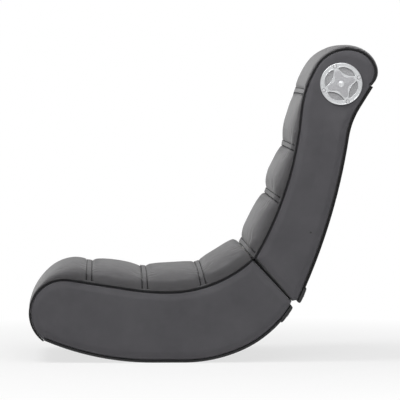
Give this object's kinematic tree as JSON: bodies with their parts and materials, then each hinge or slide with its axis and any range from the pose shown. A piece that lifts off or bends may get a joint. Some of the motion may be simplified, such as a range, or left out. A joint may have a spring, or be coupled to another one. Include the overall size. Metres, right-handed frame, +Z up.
{
  "type": "gaming rocker chair",
  "caption": "Floor rocker chair with a curved base, a ribbed upholstered seat, a folding back with a rolled head, side speakers and a side control panel.",
  "frame": {"origin": "middle of the whole object's box in X and Y, on the floor", "axes": "+X towards the back of the chair, +Y to the sitter's right, +Z up"},
  "size_m": [0.8536, 0.4384, 0.7742],
  "materials": {
    "side_cloth": "woven mesh cloth over board, matt",
    "pad_cloth": "woven mesh cloth over foam, matt",
    "piping_cord": "black cord cover, matt",
    "back_cloth": "black cloth over thin board, matt",
    "plywood": "bare plywood",
    "black_board": "black moulded board, satin",
    "bar_plastic": "black, satin",
    "balance_steel": "bare steel bar",
    "screw_steel": "dark zinc plate",
    "hinge_steel": "black, satin",
    "stop_rubber": "matt",
    "silver_plastic": "silver paint, fine satin",
    "speaker_net": "perforated sheet, matt",
    "basket_steel": "black, satin",
    "magnet_ferrite": "dark ferrite, matt",
    "cone_paper": "matt",
    "panel_plastic": "black, fine texture",
    "knob_plastic": "dark grey, satin",
    "switch_plastic": "gloss black",
    "socket_plastic": "black, satin",
    "circuit_laminate": "green laminate",
    "amplifier_case": "black, satin"
  },
  "bodies": {
    "seat": {"seat_side_panel_left": "side_cloth", "seat_side_panel_right": "side_cloth", "seat_frame_board_left": "plywood", "seat_frame_board_right": "plywood", "seat_front_rail": "plywood", "seat_middle_rail": "plywood", "seat_balance_bar": "balance_steel", "seat_deck": "plywood", "seat_end_panel": "plywood", "rocker_board": "black_board", "seat_end_bumper": "bar_plastic", "seat_screws": "screw_steel", "seat_front_pad": "pad_cloth", "seat_thigh_pad": "pad_cloth", "seat_middle_pad": "pad_cloth", "seat_rear_pad": "pad_cloth", "seat_piping": "piping_cord", "amplifier_box": "amplifier_case", "circuit_board": "circuit_laminate", "control_plate": "panel_plastic", "control_pots": "socket_plastic", "audio_jacks": "socket_plastic", "power_inlet": "socket_plastic", "switch_case": "socket_plastic", "hinge_leaf_seat": "hinge_steel", "hinge_screws_seat": "screw_steel", "hinge_pins": "screw_steel", "fold_stop_pads": "stop_rubber"},
    "back": {"back_side_panel_left": "side_cloth", "back_side_panel_right": "side_cloth", "back_frame_board_left": "plywood", "back_frame_board_right": "plywood", "back_low_rail": "plywood", "back_high_rail": "plywood", "back_deck": "plywood", "back_end_panel": "plywood", "back_board": "back_cloth", "back_end_bumper": "bar_plastic", "back_screws": "screw_steel", "side_bolts": "screw_steel", "back_lumbar_pad": "pad_cloth", "back_shoulder_pad": "pad_cloth", "back_neck_pad": "pad_cloth", "headrest_pad": "pad_cloth", "back_piping": "piping_cord", "hinge_leaf_back": "hinge_steel", "hinge_screws_back": "screw_steel", "speaker_grille_left": "silver_plastic", "speaker_grille_right": "silver_plastic", "speaker_meshes": "speaker_net", "grille_screws": "screw_steel", "speaker_baskets": "basket_steel", "speaker_magnets": "magnet_ferrite"},
    "volume_knob": {"volume_knob": "knob_plastic"},
    "bass_knob": {"bass_knob": "knob_plastic"},
    "power_switch": {"power_switch": "switch_plastic"},
    "cone_left": {"speaker_cone_left": "cone_paper"},
    "cone_right": {"speaker_cone_right": "cone_paper"}
  },
  "joints": [
    {"name": "back_fold", "type": "hinge", "parent": "seat", "child": "back", "pos_m": [0.10494, 0, 0.27383], "axis": [0, -1, 0], "range_deg": [0, 90]},
    {"name": "cone_move_left", "type": "slide", "parent": "back", "child": "cone_left", "axis": [0, -1, 0], "range_m": [-0.002, 0.002], "stiffness_N_per_m": 1500},
    {"name": "cone_move_right", "type": "slide", "parent": "back", "child": "cone_right", "axis": [0, 1, 0], "range_m": [-0.002, 0.002], "stiffness_N_per_m": 1500},
    {"name": "volume_turn", "type": "hinge", "parent": "seat", "child": "volume_knob", "pos_m": [-0.25689, 0.2124, 0.112], "axis": [0, 1, 0], "range_deg": [-150, 150]},
    {"name": "bass_turn", "type": "hinge", "parent": "seat", "child": "bass_knob", "pos_m": [-0.22989, 0.2124, 0.112], "axis": [0, 1, 0], "range_deg": [-150, 150]},
    {"name": "power_rock", "type": "hinge", "parent": "seat", "child": "power_switch", "pos_m": [-0.20289, 0.208, 0.112], "axis": [-1, 0, 0], "range_deg": [0, 16]}
  ]
}
